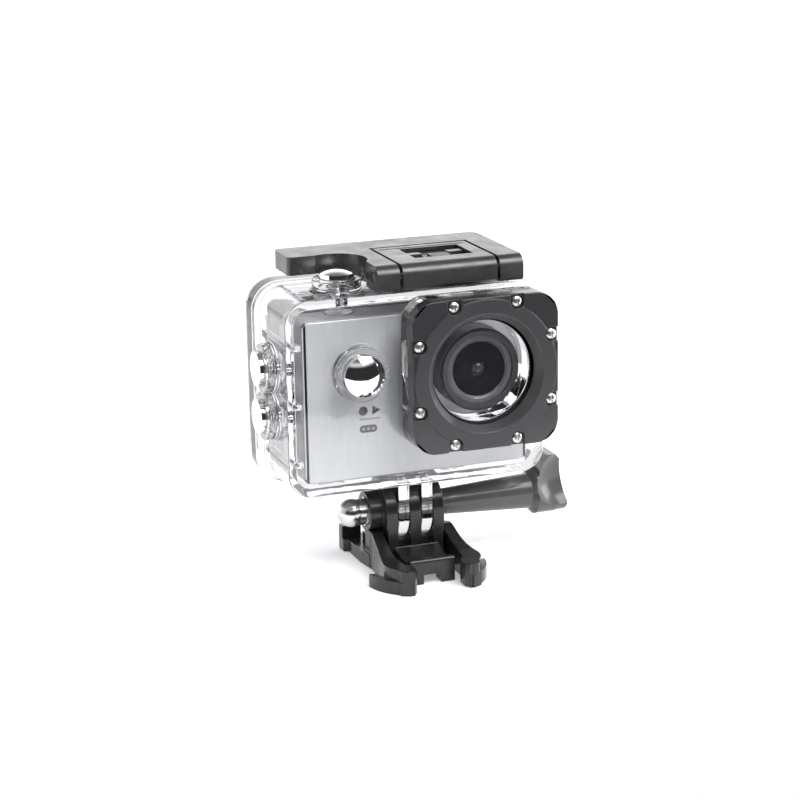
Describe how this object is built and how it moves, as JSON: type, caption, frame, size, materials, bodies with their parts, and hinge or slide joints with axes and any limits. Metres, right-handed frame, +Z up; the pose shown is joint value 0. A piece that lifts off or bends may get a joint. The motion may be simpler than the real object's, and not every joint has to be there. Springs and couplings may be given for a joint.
{
  "type": "action camera",
  "caption": "Action camera in a clear waterproof housing with a top latch, push buttons, a rear door, and a quick-release buckle with a thumbscrew pivot.",
  "frame": {"origin": "on the flat underside of the buckle, straight below the middle of the tilt pivot", "axes": "+Z up, -Y the way the lens looks, +X to the right as seen from in front of the lens, along the tilt pivot"},
  "size_m": [0.0812, 0.0442, 0.0797],
  "materials": {
    "clear_polycarbonate": "clear, polished",
    "gloss_black_plastic": "semi-gloss",
    "satin_black_plastic": "satin",
    "buckle_plastic": "satin",
    "camera_dark_plastic": "matte",
    "camera_grey_plastic": "satin",
    "brushed_silver": "brushed",
    "chrome_plate": "mirror",
    "steel": "satin",
    "port_glass": "clear",
    "black_rubber": "matte",
    "white_silicone": "matte",
    "lens_black": "satin",
    "lens_grey": "satin",
    "black_glass": "gloss",
    "coated_glass": "gloss, coated",
    "circuit_board": "satin",
    "battery_wrap": "satin",
    "camera_button": "satin"
  },
  "bodies": {
    "buckle": {"buckle_base": "buckle_plastic", "acorn_nut": "chrome_plate"},
    "left_clip": {"clip_left": "buckle_plastic"},
    "right_clip": {"clip_right": "buckle_plastic"},
    "thumbscrew": {"thumbscrew_knob": "buckle_plastic", "thumbscrew_bolt": "steel"},
    "housing": {"front_housing": "clear_polycarbonate", "lens_plate": "gloss_black_plastic", "plate_screws": "steel", "port_glass": "port_glass", "port_gasket": "black_rubber", "button_orings": "black_rubber", "latch_block": "satin_black_plastic", "latch_pin": "steel", "door_pin": "steel", "camera_front_shell": "camera_grey_plastic", "camera_faceplate": "brushed_silver", "camera_rear_shell": "camera_dark_plastic", "camera_screws": "steel", "lens_barrel": "lens_black", "lens_bezel": "lens_grey", "lens_glass": "black_glass", "front_lens": "coated_glass", "sensor_board": "circuit_board", "main_board": "circuit_board", "battery": "battery_wrap", "battery_door": "camera_dark_plastic", "lcd_screen": "black_glass", "power_spring": "steel", "shutter_spring": "steel", "up_spring": "steel", "down_spring": "steel"},
    "door": {"back_door": "clear_polycarbonate", "door_gasket": "white_silicone"},
    "lever": {"latch_lever": "satin_black_plastic"},
    "lock": {"lock_slider": "satin_black_plastic"},
    "power_push": {"power_plunger": "chrome_plate", "power_clip": "steel"},
    "camera_power": {"camera_power_button": "camera_button"},
    "shutter_push": {"shutter_plunger": "chrome_plate", "shutter_clip": "steel"},
    "camera_shutter": {"camera_shutter_button": "camera_button"},
    "up_push": {"up_plunger": "chrome_plate", "up_clip": "steel"},
    "camera_up": {"camera_up_button": "camera_button"},
    "down_push": {"down_plunger": "chrome_plate", "down_clip": "steel"},
    "camera_down": {"camera_down_button": "camera_button"}
  },
  "joints": [
    {"name": "tilt", "type": "hinge", "parent": "buckle", "child": "housing", "pos_m": [0, 0, 0.0146], "axis": [1, 0, 0], "range_deg": [-25, 55]},
    {"name": "thumbscrew_turn", "type": "hinge", "parent": "buckle", "child": "thumbscrew", "pos_m": [0.02, 0, 0.0146], "axis": [1, 0, 0], "continuous": true},
    {"name": "left_clip_flex", "type": "hinge", "parent": "buckle", "child": "left_clip", "pos_m": [-0.0092, -0.0032, 0.003], "axis": [0, 0, 1], "range_deg": [0, 5], "stiffness_Nm_per_rad": 0.4, "springref_deg": -1.15},
    {"name": "right_clip_flex", "type": "hinge", "parent": "buckle", "child": "right_clip", "pos_m": [0.0092, -0.0032, 0.003], "axis": [0, 0, -1], "range_deg": [0, 5], "stiffness_Nm_per_rad": 0.4, "springref_deg": -1.15},
    {"name": "door_open", "type": "hinge", "parent": "housing", "child": "door", "pos_m": [0, 0.0146, 0.02], "axis": [-1, 0, 0], "range_deg": [0, 70]},
    {"name": "latch_open", "type": "hinge", "parent": "housing", "child": "lever", "pos_m": [0.0075, -0.0106, 0.0766], "axis": [1, 0, 0], "range_deg": [0, 75]},
    {"name": "lock_slide", "type": "slide", "parent": "housing", "child": "lock", "axis": [0, 1, 0], "range_m": [0, 0.0026]},
    {"name": "power_press", "type": "slide", "parent": "housing", "child": "power_push", "axis": [0, 1, 0], "range_m": [0, 0.0014], "stiffness_N_per_m": 400, "springref_m": -0.0005, "deforming": ["power_spring"]},
    {"name": "camera_power_press", "type": "slide", "parent": "housing", "child": "camera_power", "axis": [0, 1, 0], "range_m": [0, 0.00085]},
    {"name": "shutter_press", "type": "slide", "parent": "housing", "child": "shutter_push", "axis": [0, 0, -1], "range_m": [0, 0.0014], "stiffness_N_per_m": 400, "springref_m": -0.0005, "deforming": ["shutter_spring"]},
    {"name": "camera_shutter_press", "type": "slide", "parent": "housing", "child": "camera_shutter", "axis": [0, 0, -1], "range_m": [0, 0.00085]},
    {"name": "up_press", "type": "slide", "parent": "housing", "child": "up_push", "axis": [1, 0, 0], "range_m": [0, 0.0014], "stiffness_N_per_m": 400, "springref_m": -0.0005, "deforming": ["up_spring"]},
    {"name": "camera_up_press", "type": "slide", "parent": "housing", "child": "camera_up", "axis": [1, 0, 0], "range_m": [0, 0.00085]},
    {"name": "down_press", "type": "slide", "parent": "housing", "child": "down_push", "axis": [1, 0, 0], "range_m": [0, 0.0014], "stiffness_N_per_m": 400, "springref_m": -0.0005, "deforming": ["down_spring"]},
    {"name": "camera_down_press", "type": "slide", "parent": "housing", "child": "camera_down", "axis": [1, 0, 0], "range_m": [0, 0.00085]}
  ],
  "couplings": [
    {"joint": "latch_open", "follows": "door_open", "ratio": 1.0714},
    {"joint": "camera_power_press", "follows": "power_press", "ratio": 0.6},
    {"joint": "camera_shutter_press", "follows": "shutter_press", "ratio": 0.6},
    {"joint": "camera_up_press", "follows": "up_press", "ratio": 0.6},
    {"joint": "camera_down_press", "follows": "down_press", "ratio": 0.6}
  ]
}
